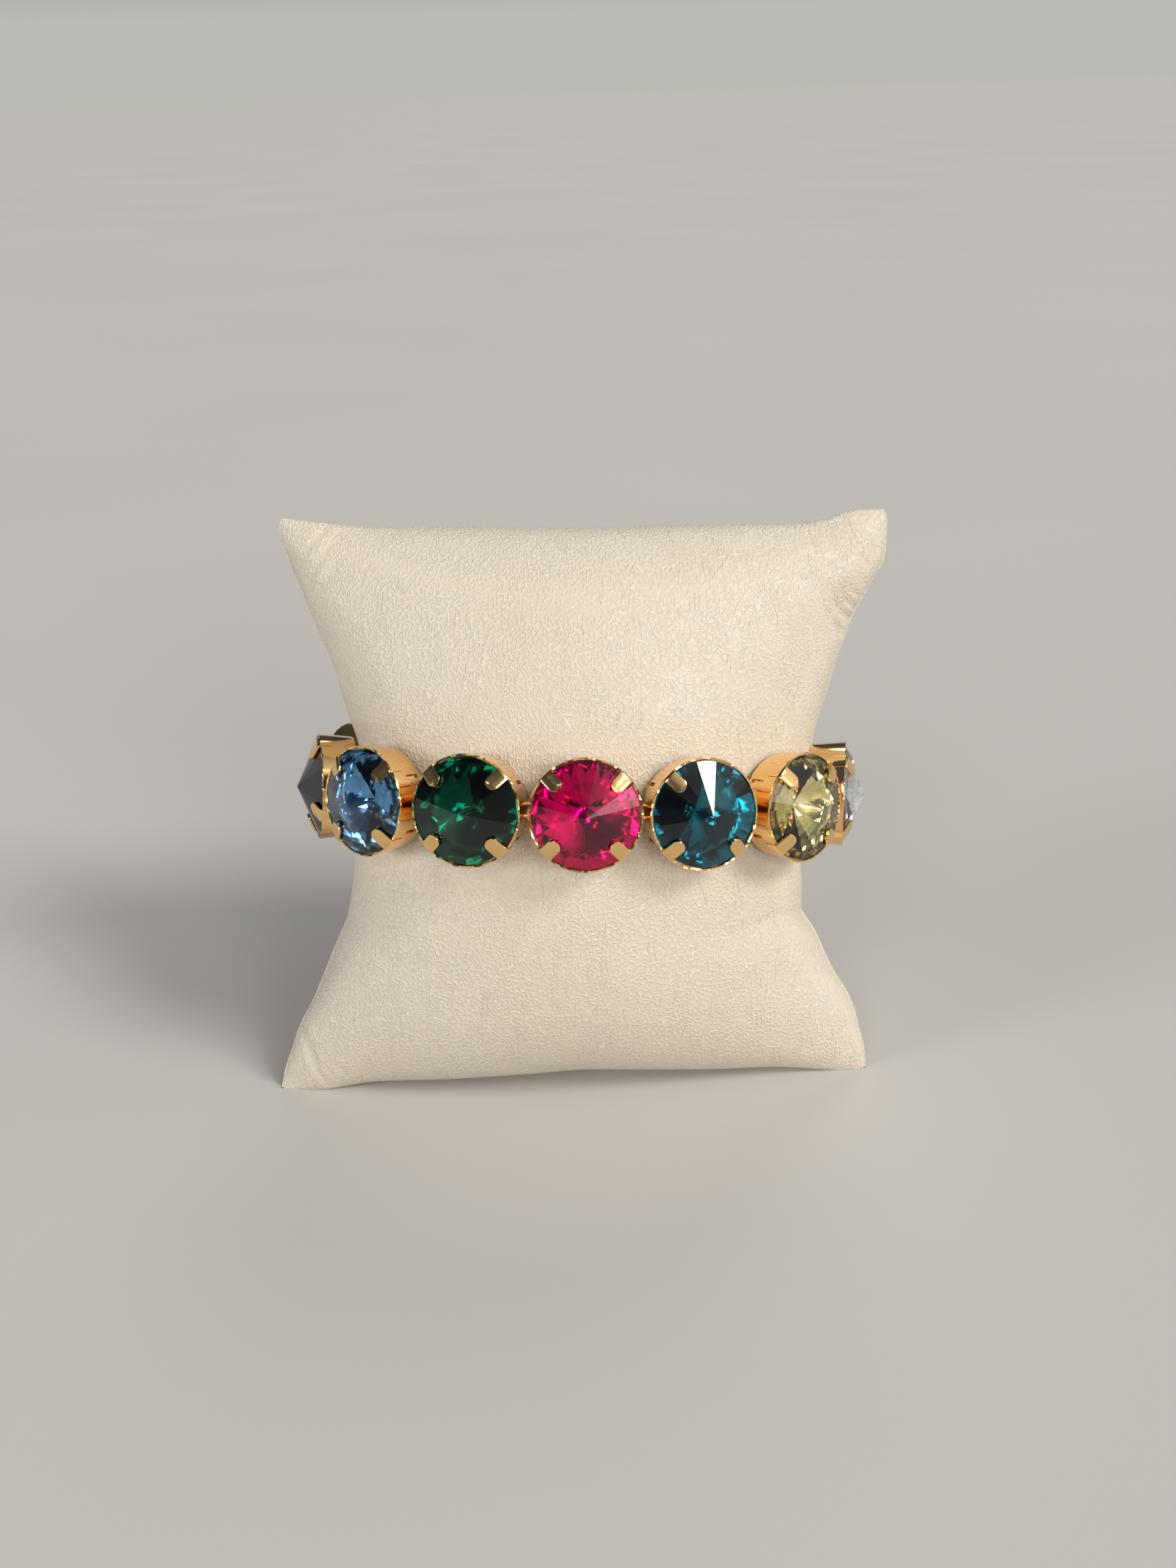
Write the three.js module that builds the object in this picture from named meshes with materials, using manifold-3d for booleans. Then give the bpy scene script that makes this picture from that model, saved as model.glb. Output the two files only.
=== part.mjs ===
// A bracelet of round crystals in gold cups, fastened round the display pillow that holds it.
// Units are millimetres and +Z is up. The pillow leans back and rests on the plane z = 0, and the
// origin is on that plane, under the middle of the whole object.
//
// The bracelet and the pillow are laid out in the loop's own frame: X to the right, Y to the back,
// Z up the pillow's face, with the origin in the middle of the bracelet's loop. The frame is then
// rolled and leaned as one.

import * as THREE from 'three';
import { ParametricGeometry } from 'three/addons/geometries/ParametricGeometry.js';
import { mergeVertices } from 'three/addons/utils/BufferGeometryUtils.js';
import Module from 'manifold-3d';

const wasm = await Module();
wasm.setup();

// ---- Driving dimensions ----

const LEAN = THREE.MathUtils.degToRad(15.5); // the pillow's face tips back by this much
const ROLL = THREE.MathUtils.degToRad(2.75); // the bracelet dips to the right by this much
const LOOP_HEIGHT = 40.1; // middle of the loop above the surface it rests on

// The closed curve through the middles of the cups' backs. Its front and back halves are
// superellipses: |x / half width|^power + |y / depth|^power = 1.
const LOOP = { halfWidth: 31.8, frontDepth: 19.15, backDepth: 22, frontPower: 1.913, backPower: 4 };
const LOOP_STEPS = 3600;
const LINK_LEVEL = 1.5; // the links lie this far outside that curve
const PITCH = 14.43; // from cup to cup, measured where the links lie
const CUPS_RIGHT = 3; // cups to the right of the middle stone; the clasp follows the last
const CUPS_LEFT = 8; // cups to its left, round the back of the pillow
// Two cups hang a little turned: about the loop's axis, on their own axis, and pulled outward.
const TURNED_CUPS = new Map([
  [0, { turn: THREE.MathUtils.degToRad(-5.5), spin: 0, out: 0 }],
  [6, { turn: THREE.MathUtils.degToRad(8.6), spin: THREE.MathUtils.degToRad(19), out: 0.3 }],
]);

const SEGMENTS = 24; // flats round a cup
const CUP = {
  backRadius: 6.85,
  rimRadius: 7.35,
  depth: 5.0,
  floor: 0.5,
  innerBackRadius: 6.3,
  innerSeatRadius: 6.5,
  seatHeight: 4.15,
  seatRadius: 7.05,
};

const STONE = { radius: 6.9, crown: 3.0, girdle: 0.45, pavilion: 3.1, facets: 16, girdleTop: 4.95 };

const PRONG = { width: 1.9, reach: 2.6, thickness: 0.36, root: 0.9, clearance: 0.16 };
const PRONG_ANGLES = [45, 135, 225, 315]; // degrees round the cup, from its right-hand side
const LOST_PRONG = { cup: 2, angle: 45 }; // the first teal stone is held by three only

const WIRE_RADIUS = 0.3;
const WIRE_SIDES = 6;
const LINK = { bendRadius: 0.85, bendSides: 10 };
const CLEARANCE = 0.27; // between a wire and the sheet metal that it passes through
const RING = { bendRadius: 1.5, bendSides: 14 };

const CLASP = { width: 4.8, thickness: 1.1, eyeRadius: 0.75, eyeInset: 1.6, mouthRadius: 1.25 };

// The pillow, seen from the front, in the loop's frame.
const PILLOW = {
  topLeft: 36.9,
  topRight: 39.6,
  topDip: 1.4,
  bottomLeft: -44.4,
  bottomRight: -40.4,
  bottomArch: 1.9,
  halfDepth: 18.85,
  waistFrontPower: 1.913,
  waistBackPower: 3.2,
  cornerPower: 1.55,
  puffPower: 2.6,
  seatPower: 8,
  seatDrop: 8.5,
};
// Half widths from the bottom fold to the top fold, at even steps of the height.
const PILLOW_SIDES = [
  { left: 42.2, right: 41.3 },
  { left: 40.4, right: 39.7 },
  { left: 36.8, right: 35.0 },
  { left: 33.5, right: 31.2 },
  { left: 31.9, right: 30.7 },
  { left: 31.3, right: 30.9 },
  { left: 31.3, right: 31.4 },
  { left: 33.2, right: 33.6 },
  { left: 36.1, right: 36.2 },
  { left: 39.6, right: 40.0 },
  { left: 42.0, right: 41.2 },
];
const PILLOW_SLICES = 40;
const PILLOW_STACKS = 22;

// ---- Materials ----

const GOLD = { color: 0xc9993f, roughness: 0.12, metalness: 1 };
const LEATHERETTE = { color: 0xe6dccb, roughness: 0.55, metalness: 0 };
const CRYSTAL = { roughness: 0.03, metalness: 0.1 };

// Stones in their order along the bracelet, from the clasp's right-hand end.
const CRYSTAL_COLORS = [
  0xe8ecee, // clear
  0xd9cf6a, // pale yellow
  0x07566b, // teal
  0xd01257, // ruby
  0x0a5c44, // emerald green
  0x4f86cf, // light blue
  0x14193f, // navy
  0xe8ecee,
  0xd9cf6a,
  0x07566b,
  0xd01257,
  0x0a5c44,
];

const material = (finish, color = finish.color) =>
  new THREE.MeshStandardMaterial({ color, roughness: finish.roughness, metalness: finish.metalness });

function namedMesh(name, geometry, finish, color) {
  const mesh = new THREE.Mesh(geometry, material(finish, color));
  mesh.name = name;
  return mesh;
}

const numbered = (name, index) => `${name}_${String(index + 1).padStart(2, '0')}`;

// ---- Joining and cutting ----

function toSolid(geometry) {
  const bare = geometry.clone();
  bare.deleteAttribute('normal');
  bare.deleteAttribute('uv');
  const merged = mergeVertices(bare);
  return new wasm.Manifold(
    new wasm.Mesh({
      numProp: 3,
      vertProperties: new Float32Array(merged.attributes.position.array),
      triVerts: new Uint32Array(merged.index.array),
    }),
  );
}

function toGeometry(solid) {
  const mesh = solid.getMesh();
  const geometry = new THREE.BufferGeometry();
  geometry.setAttribute('position', new THREE.BufferAttribute(mesh.vertProperties, 3));
  geometry.setIndex(new THREE.BufferAttribute(mesh.triVerts, 1));
  return geometry;
}

// ---- The bracelet's loop ----

// A point of the curve through the cups' backs. The turn runs from 0 at the middle of the front,
// through a quarter at the right-hand side, back round to 1.
function loopPoint(turn) {
  const angle = 2 * Math.PI * turn;
  const isFront = Math.cos(angle) >= 0;
  const depth = isFront ? LOOP.frontDepth : LOOP.backDepth;
  const power = 2 / (isFront ? LOOP.frontPower : LOOP.backPower);
  const across = Math.sin(angle);
  const along = Math.cos(angle);
  return new THREE.Vector3(
    LOOP.halfWidth * Math.sign(across) * Math.abs(across) ** power,
    -depth * Math.sign(along) * Math.abs(along) ** power,
    0,
  );
}

const UP = new THREE.Vector3(0, 0, 1);

// The curve as rows of {point, length}: length is measured along the line where the links lie.
function measureLoop() {
  const points = Array.from({ length: LOOP_STEPS + 1 }, (_, step) => loopPoint(step / LOOP_STEPS));
  const outer = points.map((point, step) => {
    const before = points[(step + LOOP_STEPS - 1) % LOOP_STEPS];
    const after = points[(step + 1) % LOOP_STEPS];
    const outward = after.clone().sub(before).cross(UP).normalize();
    return point.clone().addScaledVector(outward, LINK_LEVEL);
  });
  let length = 0;
  return points.map((point, step) => {
    length += step ? outer[step].distanceTo(outer[step - 1]) : 0;
    return { point, length };
  });
}

const LOOP_ROWS = measureLoop();
const LOOP_LENGTH = LOOP_ROWS.at(-1).length;

function pointAt(length) {
  const wanted = ((length % LOOP_LENGTH) + LOOP_LENGTH) % LOOP_LENGTH;
  const next = LOOP_ROWS.findIndex((row) => row.length > wanted);
  const [from, to] = [LOOP_ROWS[next - 1], LOOP_ROWS[next]];
  return from.point.clone().lerp(to.point, (wanted - from.length) / (to.length - from.length));
}

// A place on the loop: a point, the way along the loop and the way out from it.
function placeAt(length) {
  const halfChord = 5;
  const along = pointAt(length + halfChord).sub(pointAt(length - halfChord)).normalize();
  return { point: pointAt(length), along, outward: along.clone().cross(UP) };
}

function matrixFor({ point, along, outward }) {
  return new THREE.Matrix4().makeBasis(along, UP, outward).setPosition(point);
}

const linkPoint = (place) => place.point.clone().addScaledVector(place.outward, LINK_LEVEL);

// A cup's place, turned where its links hold it.
function cupPlaceAt(index) {
  const place = placeAt((CUPS_RIGHT - index) * PITCH);
  const { turn, spin, out } = TURNED_CUPS.get(index) ?? { turn: 0, spin: 0, out: 0 };
  const along = place.along.clone().applyAxisAngle(UP, turn);
  const outward = along.clone().cross(UP);
  return { point: linkPoint(place).addScaledVector(outward, out - LINK_LEVEL), along, outward, spin };
}

const cupMatrix = (place) => matrixFor(place).multiply(new THREE.Matrix4().makeRotationZ(place.spin));

// The place midway between two others, facing out between them.
function placeBetween(from, to) {
  const along = to.clone().sub(from).normalize();
  return { point: from.clone().lerp(to, 0.5), along, outward: along.clone().cross(UP) };
}

// ---- Cups, in a frame with the back at z = 0 and the stone facing +Z ----

const crownSlope = Math.atan2(STONE.crown, STONE.radius);

function cupShell() {
  const profile = [
    [0, 0],
    [CUP.backRadius, 0],
    [CUP.rimRadius, CUP.depth],
    [CUP.seatRadius, CUP.depth],
    [CUP.seatRadius, CUP.seatHeight],
    [CUP.innerSeatRadius, CUP.seatHeight],
    [CUP.innerBackRadius, CUP.floor],
    [0, CUP.floor],
  ];
  const flatCentred = Math.PI / SEGMENTS;
  return new THREE.LatheGeometry(
    profile.map(([radius, height]) => new THREE.Vector2(radius, height)),
    SEGMENTS,
    flatCentred,
  ).rotateX(Math.PI / 2);
}

// One prong on the +X side: a tab that rises from the rim, folds over the stone's edge and ends
// in a round tip.
function prong() {
  const inner = CUP.seatRadius;
  const outer = CUP.rimRadius;
  const tip = outer - PRONG.reach;
  const lift = PRONG.clearance / Math.cos(crownSlope);
  const thick = PRONG.thickness / Math.cos(crownSlope);
  const under = (radius) => STONE.girdleTop + lift + Math.max(0, STONE.radius - radius) * Math.tan(crownSlope);
  const side = new THREE.Shape([
    new THREE.Vector2(inner, CUP.depth - PRONG.root),
    new THREE.Vector2(outer, CUP.depth - PRONG.root),
    new THREE.Vector2(outer, under(outer) + 0.1),
    new THREE.Vector2(inner, under(inner) + thick),
    new THREE.Vector2(tip + 0.15, under(tip) + thick),
    new THREE.Vector2(tip, under(tip) + thick / 2),
    new THREE.Vector2(tip, under(tip)),
    new THREE.Vector2(inner, under(inner)),
  ]);
  const bent = new THREE.ExtrudeGeometry(side, { depth: PRONG.width, bevelEnabled: false })
    .translate(0, 0, -PRONG.width / 2)
    .rotateX(Math.PI / 2);
  const half = PRONG.width / 2;
  const plan = new THREE.Shape()
    .moveTo(outer + 1, -half)
    .lineTo(outer + 1, half)
    .lineTo(tip + half, half)
    .absarc(tip + half, 0, half, Math.PI / 2, 1.5 * Math.PI, false);
  const rounded = new THREE.ExtrudeGeometry(plan, { depth: 10, bevelEnabled: false, curveSegments: 3 });
  return toSolid(bent).intersect(toSolid(rounded));
}

function settingSolid(prongAngles) {
  const tab = prong();
  return prongAngles.reduce(
    (setting, degrees) => setting.add(tab.rotate([0, 0, degrees])),
    toSolid(cupShell()),
  );
}

// ---- Stones, in the cup's frame: pointed in front, with the same number of facets behind ----

function stoneGeometry() {
  const girdleBottom = STONE.girdleTop - STONE.girdle;
  const profile = [
    [0, girdleBottom - STONE.pavilion],
    [STONE.radius, girdleBottom],
    [STONE.radius, STONE.girdleTop],
    [0, STONE.girdleTop + STONE.crown],
  ];
  return new THREE.LatheGeometry(
    profile.map(([radius, height]) => new THREE.Vector2(radius, height)),
    STONE.facets,
    Math.PI / STONE.facets,
  ).rotateX(Math.PI / 2);
}

// ---- Wire links and rings: a closed loop of wire in the XY plane ----

// The two bends are pulled apart along X, which leaves a straight run of wire between them.
function wireLoop({ bendRadius, bendSides }, straight, wireRadius = WIRE_RADIUS) {
  const geometry = new THREE.TorusGeometry(bendRadius, wireRadius, WIRE_SIDES, bendSides);
  const position = geometry.attributes.position;
  for (let vertex = 0; vertex < position.count; vertex += 1) {
    const x = position.getX(vertex);
    position.setX(vertex, x + (Math.sign(x) * straight) / 2);
  }
  return geometry;
}

// ---- Laying out the bracelet ----

const cupIndices = Array.from({ length: CUPS_RIGHT + CUPS_LEFT + 1 }, (_, index) => index);
const cupPlaces = cupIndices.map(cupPlaceAt);

const radiusAtLinks = THREE.MathUtils.lerp(CUP.backRadius, CUP.rimRadius, LINK_LEVEL / CUP.depth);
const wallAtLinks = radiusAtLinks - CUP.innerBackRadius;
// From a wall's outer face to the end of a link inside the cup.
const linkInside = wallAtLinks + CLEARANCE + 2 * WIRE_RADIUS;
const linkHalfHeight = LINK.bendRadius + WIRE_RADIUS;

// A link between two neighbouring cups, long enough to pass through both their walls.
function linkBetween(first, second) {
  const place = placeBetween(linkPoint(second), linkPoint(first));
  const turn = first.along.angleTo(second.along) / 2;
  const chord = linkPoint(first).distanceTo(linkPoint(second));
  const gap = chord - 2 * radiusAtLinks * Math.cos(turn);
  const straight = gap + 2 * (linkInside / Math.cos(turn) - linkHalfHeight);
  return { matrix: matrixFor(place), straight };
}

// The end links hold the clasp's rings. They stand out of the end cups' walls by this much.
const endLinkOutside = CLEARANCE + 2 * WIRE_RADIUS + CLEARANCE + 2 * WIRE_RADIUS;

function endLink(place, direction) {
  const length = linkInside + endLinkOutside;
  const middle = radiusAtLinks + (endLinkOutside - linkInside) / 2;
  const point = linkPoint(place).addScaledVector(place.along, direction * middle);
  const straight = length - 2 * linkHalfHeight;
  return { matrix: matrixFor({ ...place, point }), straight };
}

const firstCup = cupPlaces[0];
const lastCup = cupPlaces.at(-1);
const links = cupPlaces.slice(1).map((place, index) => linkBetween(cupPlaces[index], place));
const endLinks = [endLink(firstCup, 1), endLink(lastCup, -1)];

// The rings lie flat in the loop's plane, each with its wire through an end link's opening.
const ringFromWall = CLEARANCE + WIRE_RADIUS + RING.bendRadius;
const ringPoint = (place, direction) =>
  linkPoint(place).addScaledVector(place.along, direction * (radiusAtLinks + ringFromWall));
const ringPoints = [ringPoint(firstCup, 1), ringPoint(lastCup, -1)];
const claspPlace = placeBetween(ringPoints[0], ringPoints[1]);
const eyeToMouth = ringPoints[0].distanceTo(ringPoints[1]) - 2 * RING.bendRadius;

// A flat plate with an eye for one ring and a long mouth for the other.
function claspGeometry() {
  const half = CLASP.width / 2;
  const eyeEnd = -eyeToMouth / 2;
  const mouthEnd = eyeToMouth / 2;
  const eyeTip = CLASP.eyeInset;
  const outline = new THREE.Shape()
    .absarc(eyeEnd, 0, eyeTip, 0.6 * Math.PI, 1.4 * Math.PI, false)
    .absarc(mouthEnd + eyeTip - half, 0, half, -0.5 * Math.PI, 0.5 * Math.PI, false);
  const eye = new THREE.Path().absarc(eyeEnd, 0, CLASP.eyeRadius, 0, 2 * Math.PI, true);
  const mouthOuter = mouthEnd + CLASP.eyeRadius - CLASP.mouthRadius;
  const mouthInner = eyeEnd + eyeTip + CLASP.mouthRadius;
  const mouth = new THREE.Path()
    .absarc(mouthOuter, 0, CLASP.mouthRadius, 0.5 * Math.PI, -0.5 * Math.PI, true)
    .absarc(mouthInner, 0, CLASP.mouthRadius, -0.5 * Math.PI, 0.5 * Math.PI, true);
  outline.holes.push(eye, mouth);
  return new THREE.ExtrudeGeometry(outline, {
    depth: CLASP.thickness,
    bevelEnabled: false,
    curveSegments: 6,
  }).translate(0, 0, -CLASP.thickness / 2);
}

// ---- The pillow ----

const sideCurves = {
  left: new THREE.SplineCurve(PILLOW_SIDES.map(({ left }, row) => new THREE.Vector2(row, left))),
  right: new THREE.SplineCurve(PILLOW_SIDES.map(({ right }, row) => new THREE.Vector2(row, right))),
};

// A point of the pillow's skin. Around runs once round a level section, from the right-hand seam
// over the back; rise runs from the bottom fold to the top one.
function pillowPoint(around, rise, target) {
  const angle = 2 * Math.PI * around;
  const level = -Math.cos(Math.PI * rise);
  const height = (level + 1) / 2;
  const isBack = Math.sin(angle) > 0;
  const waistPower = isBack ? PILLOW.waistBackPower : PILLOW.waistFrontPower;
  const power = THREE.MathUtils.lerp(waistPower, PILLOW.cornerPower, level * level);
  const across = Math.sign(Math.cos(angle)) * Math.abs(Math.cos(angle)) ** (2 / power);
  const through = Math.sign(Math.sin(angle)) * Math.abs(Math.sin(angle)) ** (2 / power);
  const side = across < 0 ? sideCurves.left : sideCurves.right;
  const isSeat = isBack && level < 0;
  const puff = Math.sqrt(1 - Math.abs(level) ** (isSeat ? PILLOW.seatPower : PILLOW.puffPower));
  const drop = isSeat ? PILLOW.seatDrop * through * puff * level * level : 0;
  const flatness = 1 - Math.abs(across) ** 6;
  const top = THREE.MathUtils.lerp(PILLOW.topLeft, PILLOW.topRight, (across + 1) / 2) - PILLOW.topDip * flatness;
  const bottom =
    THREE.MathUtils.lerp(PILLOW.bottomLeft, PILLOW.bottomRight, (across + 1) / 2) +
    PILLOW.bottomArch * (1 - across * across);
  target.set(
    across * side.getPoint(height).y,
    PILLOW.halfDepth * through * puff,
    THREE.MathUtils.lerp(bottom, top, height) - drop,
  );
}

const standMatrix = new THREE.Matrix4()
  .makeRotationFromEuler(new THREE.Euler(-LEAN, ROLL, 0))
  .setPosition(0, 0, LOOP_HEIGHT);

function pillowGeometry() {
  const skin = new ParametricGeometry(pillowPoint, PILLOW_SLICES, PILLOW_STACKS).applyMatrix4(standMatrix);
  const ground = new THREE.BoxGeometry(200, 200, 20).translate(0, 0, -10);
  return toGeometry(toSolid(skin).subtract(toSolid(ground)));
}

// ---- Building ----

// Each cup's wall is opened round the wires that pass through it.
function cupGeometry(setting, place, wires) {
  const toCup = cupMatrix(place).invert();
  const cut = wires.reduce((solid, { matrix, straight }) => {
    const hole = wireLoop(LINK, straight, WIRE_RADIUS + CLEARANCE);
    hole.applyMatrix4(new THREE.Matrix4().multiplyMatrices(toCup, matrix));
    return solid.subtract(toSolid(hole));
  }, setting);
  return toGeometry(cut);
}

function place(mesh, matrix) {
  matrix.decompose(mesh.position, mesh.quaternion, mesh.scale);
  return mesh;
}

function bracelet() {
  const group = new THREE.Group();
  const setting = settingSolid(PRONG_ANGLES);
  const threeProngSetting = settingSolid(PRONG_ANGLES.filter((angle) => angle !== LOST_PRONG.angle));
  const stone = stoneGeometry();
  const wires = [endLinks[0], ...links, endLinks[1]];
  cupPlaces.forEach((cupPlace, index) => {
    const matrix = cupMatrix(cupPlace);
    const ownSetting = index === LOST_PRONG.cup ? threeProngSetting : setting;
    const cup = cupGeometry(ownSetting, cupPlace, wires.slice(index, index + 2));
    group.add(place(namedMesh(numbered('cup', index), cup, GOLD), matrix));
    group.add(place(namedMesh(numbered('stone', index), stone, CRYSTAL, CRYSTAL_COLORS[index]), matrix));
  });
  links.forEach(({ matrix, straight }, index) => {
    group.add(place(namedMesh(numbered('link', index), wireLoop(LINK, straight), GOLD), matrix));
  });
  ['right', 'left'].forEach((side, index) => {
    const { matrix, straight } = endLinks[index];
    group.add(place(namedMesh(`end_link_${side}`, wireLoop(LINK, straight), GOLD), matrix));
    const ring = namedMesh(`jump_ring_${side}`, wireLoop(RING, 0), GOLD);
    ring.position.copy(ringPoints[index]);
    group.add(ring);
  });
  group.add(place(namedMesh('clasp', claspGeometry(), GOLD), matrixFor(claspPlace)));
  return group;
}

const group = new THREE.Group();
group.add(place(bracelet(), standMatrix));
group.add(namedMesh('display_pillow', pillowGeometry(), LEATHERETTE));

const middle = new THREE.Box3().setFromObject(group).getCenter(new THREE.Vector3());
group.position.set(-middle.x, -middle.y, 0);

export default group;
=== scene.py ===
"""The looks of a bracelet of round crystals in gold cups, fastened round its display pillow.

Lengths are millimetres until a piece is made, and metres from there. The loop's frame has X to the
right, Y to the back and Z up the pillow's face, with its origin in the middle of the bracelet.
"""

import math

import bmesh
import bpy
import numpy as np
from mathutils import Matrix, Vector


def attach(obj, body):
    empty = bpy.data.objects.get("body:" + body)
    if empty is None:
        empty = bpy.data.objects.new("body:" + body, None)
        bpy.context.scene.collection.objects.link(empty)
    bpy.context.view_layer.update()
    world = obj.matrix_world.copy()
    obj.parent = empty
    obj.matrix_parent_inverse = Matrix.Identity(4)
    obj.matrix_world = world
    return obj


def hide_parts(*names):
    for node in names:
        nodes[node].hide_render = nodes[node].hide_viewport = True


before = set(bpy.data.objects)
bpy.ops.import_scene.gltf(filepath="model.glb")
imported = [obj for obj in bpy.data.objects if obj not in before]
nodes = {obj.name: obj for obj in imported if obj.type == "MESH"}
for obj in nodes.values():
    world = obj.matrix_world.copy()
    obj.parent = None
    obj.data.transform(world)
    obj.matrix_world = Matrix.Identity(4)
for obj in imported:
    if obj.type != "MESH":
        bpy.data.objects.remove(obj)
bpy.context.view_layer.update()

MM = 0.001
scene = bpy.context.scene
rng = np.random.default_rng(11)

# ---- Sizes, as in the solids ----

CUPS = 12
COLOUR_ORDER = ["clear", "yellow", "teal", "ruby", "green", "blue", "navy"]
STONES = [COLOUR_ORDER[index % len(COLOUR_ORDER)] for index in range(CUPS)]
MIDDLE_CUP = 3
FRONT_DEPTH = 19.15  # from the loop's middle to the back of the middle cup

CUP = {"back": 6.85, "rim": 7.35, "depth": 5.0, "floor": 0.5, "inner_back": 6.3, "inner_seat": 6.5}
SEAT = {"radius": 7.05, "height": 4.15}
CUP_SEGMENTS = 160
CUP_BACK_ROUND = 0.6
# The rim: the bright band's height, its rounded edges' drop and inset, the lip that they leave, and how
# far the milling throws it up or down in millimetres, and out or in as a share of the radius.
RIM = {"band": 0.22, "drop": 0.08, "inset": 0.05, "lip": 0.01, "milled_up": 0.035, "milled_out": 0.0025}
STONE = {"radius": 6.9, "crown": 3.0, "girdle": 0.45, "pavilion": 3.1, "facets": 16, "girdle_top": 4.95}
STONE_SEGMENTS = 192
# A prong also stands a little proud of the wall, leans in at its foot, and has a bend's radius, rounded
# edges, the spacing of its rings, and a tip that ends at a share of its half circle, this narrow.
PRONG = {
    "width": 1.9, "reach": 2.6, "thickness": 0.36, "clearance": 0.16, "root": 1.6, "proud": 0.04,
    "lean": 0.12, "bend": 0.34, "edge": 0.09, "step": 0.22, "tip_share": 0.98, "tip_width": 0.05,
}
PRONG_TIP_RINGS = 12
# The angles in degrees above which an edge is shown sharp.
SHARP = {"cup": 28, "plain": 30, "stone": 1.5, "pillow": 80}
WIRE = 0.3
LINK_BEND = 0.85
RING_BEND = 1.5
CLEARANCE = 0.27
OPENING = WIRE + CLEARANCE - 0.02  # the free radius round a link's wire, a little less than in the solids
PRONG_ANGLES = [45, 135, 225, 315]
LOST_PRONG = {"cup": 2, "angle": 45}
SPUN_CUPS = {6: 19}  # degrees on its own axis
CLASP = {"width": 4.8, "thickness": 1.1, "eye": 0.75, "inset": 1.6, "mouth": 1.25, "bevel": 0.3}
# The slots pressed in beside each link: angle from the loop's plane, run up the wall, height, depth and
# how far the cutter stands out of the wall.
SLOT = {"angle": 31, "low": 0.75, "high": 2.95, "height": 0.55, "deep": 0.2, "out": 0.5}

# ---- Meshes ----


def piece(name, vertices, faces, materials, sharp=SHARP["plain"], face_materials=None):
    """A mesh object from places in millimetres, smooth except across edges sharper than that many degrees."""
    mesh = bpy.data.meshes.new(name)
    mesh.from_pydata([tuple(v) for v in np.asarray(vertices) * MM], [], faces)
    for material in materials:
        mesh.materials.append(material)
    if face_materials is not None:
        mesh.polygons.foreach_set("material_index", face_materials)
    mesh.validate()
    finish_shading(mesh, sharp)
    made = bpy.data.objects.new(name, mesh)
    scene.collection.objects.link(made)
    return made


def finish_shading(mesh, sharp):
    mesh.shade_smooth()
    mesh.set_sharp_from_angle(angle=math.radians(sharp))
    mesh.update()


def ring_faces(rings, around):
    """Quads between successive rings of the same number of vertices."""
    faces = []
    for first in range(0, (rings - 1) * around, around):
        for step in range(around):
            a, b = first + step, first + (step + 1) % around
            faces.append((a, b, b + around, a + around))
    return faces


def lathe(profile, segments):
    """Turns (radius, height) points about Z. The first and last points are on the axis."""
    angles = np.arange(segments) * 2 * np.pi / segments
    circle = np.stack([np.cos(angles), np.sin(angles)], 1)
    rings = [
        np.column_stack([circle * radius, np.full(segments, height)]) for radius, height in profile[1:-1]
    ]
    start = len(rings) * segments
    end, last = start + 1, start - segments
    vertices = np.vstack([*rings, [[0, 0, profile[0][1]], [0, 0, profile[-1][1]]]])
    faces = ring_faces(len(rings), segments)
    for step in range(segments):
        following = (step + 1) % segments
        faces += [(start, following, step), (end, last + step, last + following)]
    return vertices, faces


def rounded(points, radii, steps):
    """A polyline with its corners rounded: radii gives each point's radius, 0 for a sharp one."""
    points = [np.array(p, float) for p in points]
    out = []
    for index, (point, radius) in enumerate(zip(points, radii)):
        if radius == 0:
            out.append(point)
            continue
        before, after = unit(points[index - 1] - point), unit(points[index + 1] - point)
        reach = radius / math.tan(math.acos(np.clip(before @ after, -1, 1)) / 2)
        start, end = point + before * reach, point + after * reach
        for step in range(steps + 1):
            t = step / steps
            out.append((1 - t) ** 2 * start + 2 * t * (1 - t) * point + t**2 * end)
    return out


def loft(rings):
    """A tube through rings of places, with flat ends."""
    around = len(rings[0])
    vertices = np.vstack(rings)
    last = len(vertices) - around
    ends = [tuple(range(around))[::-1], tuple(range(last, last + around))]
    return vertices, ring_faces(len(rings), around) + ends


def joined(*parts):
    """Several (vertices, faces) as one."""
    vertices, faces, count = [], [], 0
    for part_vertices, part_faces in parts:
        vertices.append(part_vertices)
        faces += [tuple(index + count for index in face) for face in part_faces]
        count += len(part_vertices)
    return np.vstack(vertices), faces


def turned(part, degrees):
    """A part turned about Z."""
    cos, sin = math.cos(math.radians(degrees)), math.sin(math.radians(degrees))
    return part[0] @ np.array([[cos, sin, 0], [-sin, cos, 0], [0, 0, 1]]), part[1]


def moved(part, matrix):
    """A part in another frame, which is three axes as rows and an origin."""
    axes, origin = matrix
    return part[0] @ axes + origin, part[1]


def placement(axes, origin):
    """The same kind of frame as Blender's matrix, in metres."""
    return Matrix([[*axes[:, row], origin[row] * MM] for row in range(3)] + [[0, 0, 0, 1]])


def combine(target, tool, operation):
    """Target becomes its union or difference with tool, which is removed."""
    modifier = target.modifiers.new("combine", "BOOLEAN")
    modifier.operation = operation
    modifier.solver = "MANIFOLD"
    modifier.object = tool
    result = bpy.data.meshes.new_from_object(target.evaluated_get(bpy.context.evaluated_depsgraph_get()))
    target.modifiers.clear()
    target.data = result
    bpy.data.objects.remove(tool)


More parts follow.
